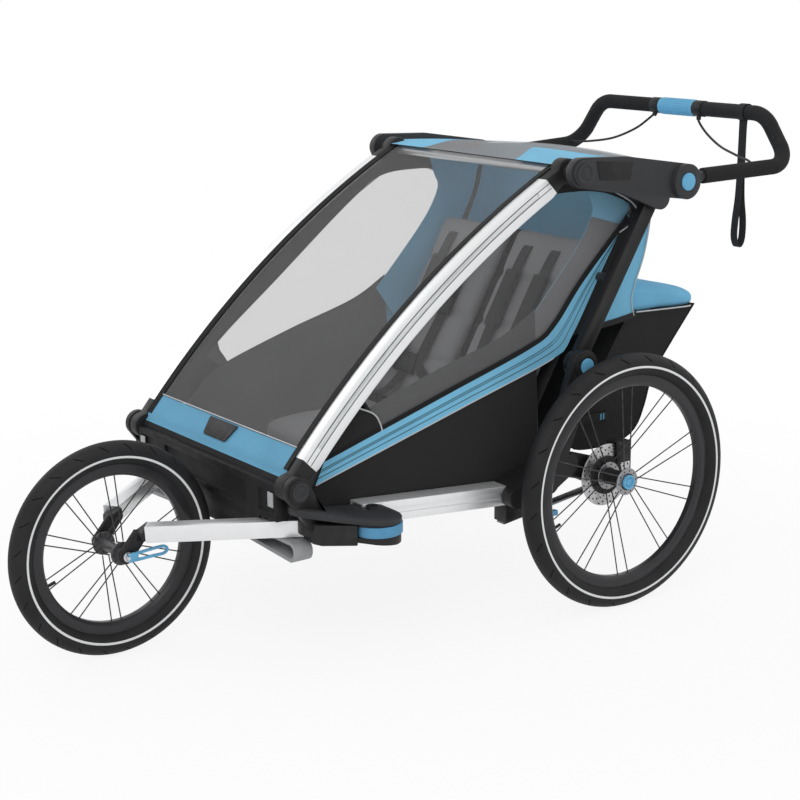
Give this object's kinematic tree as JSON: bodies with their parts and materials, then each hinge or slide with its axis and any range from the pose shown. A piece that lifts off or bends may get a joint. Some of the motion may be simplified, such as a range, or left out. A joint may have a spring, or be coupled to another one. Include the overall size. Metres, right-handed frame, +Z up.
{
  "type": "child bicycle trailer",
  "caption": "Folding child trailer with a covered cabin, bowed pillars, sprung spoked wheels, rear push handlebar, cargo bag and a removable jogging wheel on front arms.",
  "frame": {"origin": "on the ground in the middle of the footprint", "axes": "+X to the trailer's left, -Y forward, +Z up"},
  "size_m": [0.782, 1.6014, 0.9329],
  "materials": {
    "silver_tube": "satin anodised",
    "steel": "brushed",
    "bar_tube": "satin",
    "black_casting": "fine texture",
    "black_plastic": "fine texture",
    "dark_plastic": "satin",
    "grey_plastic": "matte",
    "floor_cloth": "coarse weave",
    "blue_cloth": "fine weave",
    "mesh_cloth": "open mesh",
    "seat_cloth": "padded weave",
    "webbing": "webbing",
    "black_cloth": "coarse weave",
    "foam": "matte foam",
    "cable": "satin",
    "blue_plastic": "satin",
    "tyre": "moulded rubber",
    "rim": "dark anodised",
    "hub": "turned"
  },
  "bodies": {
    "frame": {"base_rail_left": "silver_tube", "base_rail_right": "silver_tube", "wing_left": "black_casting", "wing_right": "black_casting", "front_panel": "black_plastic", "bumper_left": "grey_plastic", "bumper_right": "grey_plastic", "floor_pan": "floor_cloth", "rear_frame": "black_casting", "side_wall_left": "blue_cloth", "side_wall_right": "blue_cloth", "jog_arm_left": "silver_tube", "jog_arm_right": "silver_tube", "front_axle": "steel", "seat_base": "seat_cloth", "seat_back": "seat_cloth", "harness": "webbing", "side_window_left": "mesh_cloth", "side_window_right": "mesh_cloth", "back_panel": "blue_cloth", "cargo_bag": "black_cloth", "bag_lid": "blue_cloth", "leaf_spring_left": "steel", "leaf_spring_right": "steel"},
    "pillars": {"pillar_left": "silver_tube", "pillar_right": "silver_tube", "roof_bar": "silver_tube", "front_cover": "mesh_cloth"},
    "consoles": {"console_left": "dark_plastic", "console_right": "dark_plastic", "roof": "blue_cloth"},
    "struts": {"strut_left": "dark_plastic", "strut_right": "dark_plastic", "strut_bar": "silver_tube"},
    "handlebar": {"handlebar": "bar_tube", "grips": "foam", "brake_housings": "black_plastic", "wrist_strap": "webbing", "brake_cables": "cable"},
    "brake_sleeve": {"brake_sleeve": "blue_plastic"},
    "hub_button_left": {"hub_button_left": "blue_plastic"},
    "hub_button_right": {"hub_button_right": "blue_plastic"},
    "fold_button_left": {"fold_button_left": "blue_plastic"},
    "fold_button_right": {"fold_button_right": "blue_plastic"},
    "wing_latch_left": {"wing_latch_left": "blue_plastic"},
    "wing_latch_right": {"wing_latch_right": "blue_plastic"},
    "quick_lever": {"quick_lever": "blue_plastic"},
    "front_wheel": {"front_tyre": "tyre", "front_rim": "rim", "front_hub": "hub"},
    "swing_left": {"swing_arm_left": "black_casting"},
    "swing_right": {"swing_arm_right": "black_casting"},
    "rear_wheel_left": {"rear_tyre_left": "tyre", "rear_rim_left": "rim", "rear_hub_left": "hub"},
    "rear_wheel_right": {"rear_tyre_right": "tyre", "rear_rim_right": "rim", "rear_hub_right": "hub"},
    "axle_cap_left": {"axle_cap_left": "blue_plastic"},
    "axle_cap_right": {"axle_cap_right": "blue_plastic"}
  },
  "joints": [
    {"name": "fold", "type": "hinge", "parent": "frame", "child": "pillars", "pos_m": [0, -0.39125, 0.34], "axis": [1, 0, 0], "range_deg": [-23, 0], "deforming": ["side_window_left", "side_window_right", "seat_back", "harness", "back_panel"]},
    {"name": "console_turn", "type": "hinge", "parent": "pillars", "child": "consoles", "pos_m": [0, 0.22375, 0.842], "axis": [1, 0, 0], "range_deg": [0, 46]},
    {"name": "strut_turn", "type": "hinge", "parent": "frame", "child": "struts", "pos_m": [0, 0.23775, 0.478], "axis": [1, 0, 0], "range_deg": [-41.86, 0]},
    {"name": "handlebar_tilt", "type": "hinge", "parent": "consoles", "child": "handlebar", "pos_m": [0, 0.48175, 0.808], "axis": [1, 0, 0], "range_deg": [-20, 100]},
    {"name": "brake_twist", "type": "hinge", "parent": "handlebar", "child": "brake_sleeve", "pos_m": [0, 0.78275, 0.915], "axis": [1, 0, 0], "range_deg": [0, 35], "stiffness_Nm_per_rad": 0.5},
    {"name": "hub_button_left", "type": "slide", "parent": "consoles", "child": "hub_button_left", "axis": [-1, 0, 0], "range_m": [0, 0.003], "stiffness_N_per_m": 800},
    {"name": "fold_button_left", "type": "slide", "parent": "frame", "child": "fold_button_left", "axis": [-1, 0, 0], "range_m": [0, 0.003], "stiffness_N_per_m": 800},
    {"name": "wing_latch_left", "type": "slide", "parent": "frame", "child": "wing_latch_left", "axis": [-1, 0, 0], "range_m": [0, 0.003], "stiffness_N_per_m": 800},
    {"name": "suspension_left", "type": "hinge", "parent": "frame", "child": "swing_left", "pos_m": [0, 0.20375, 0.29], "axis": [1, 0, 0], "range_deg": [-3, 3], "stiffness_Nm_per_rad": 600, "deforming": ["leaf_spring_left"]},
    {"name": "rear_wheel_left_spin", "type": "hinge", "parent": "swing_left", "child": "rear_wheel_left", "pos_m": [0, 0.30375, 0.25], "axis": [1, 0, 0], "continuous": true},
    {"name": "axle_cap_left", "type": "slide", "parent": "rear_wheel_left", "child": "axle_cap_left", "axis": [-1, 0, 0], "range_m": [0, 0.002], "stiffness_N_per_m": 1000},
    {"name": "hub_button_right", "type": "slide", "parent": "consoles", "child": "hub_button_right", "axis": [1, 0, 0], "range_m": [0, 0.003], "stiffness_N_per_m": 800},
    {"name": "fold_button_right", "type": "slide", "parent": "frame", "child": "fold_button_right", "axis": [1, 0, 0], "range_m": [0, 0.003], "stiffness_N_per_m": 800},
    {"name": "wing_latch_right", "type": "slide", "parent": "frame", "child": "wing_latch_right", "axis": [1, 0, 0], "range_m": [0, 0.003], "stiffness_N_per_m": 800},
    {"name": "suspension_right", "type": "hinge", "parent": "frame", "child": "swing_right", "pos_m": [0, 0.20375, 0.29], "axis": [1, 0, 0], "range_deg": [-3, 3], "stiffness_Nm_per_rad": 600, "deforming": ["leaf_spring_right"]},
    {"name": "rear_wheel_right_spin", "type": "hinge", "parent": "swing_right", "child": "rear_wheel_right", "pos_m": [0, 0.30375, 0.25], "axis": [1, 0, 0], "continuous": true},
    {"name": "axle_cap_right", "type": "slide", "parent": "rear_wheel_right", "child": "axle_cap_right", "axis": [1, 0, 0], "range_m": [0, 0.002], "stiffness_N_per_m": 1000},
    {"name": "front_wheel_spin", "type": "hinge", "parent": "frame", "child": "front_wheel", "pos_m": [0, -0.60125, 0.1995], "axis": [1, 0, 0], "continuous": true},
    {"name": "quick_lever_swing", "type": "hinge", "parent": "frame", "child": "quick_lever", "pos_m": [0.067, -0.60125, 0.1995], "axis": [0, 0, -1], "range_deg": [0, 170]}
  ],
  "couplings": [
    {"joint": "console_turn", "follows": "fold", "ratio": -2},
    {"joint": "strut_turn", "follows": "fold", "ratio": 1.82}
  ]
}
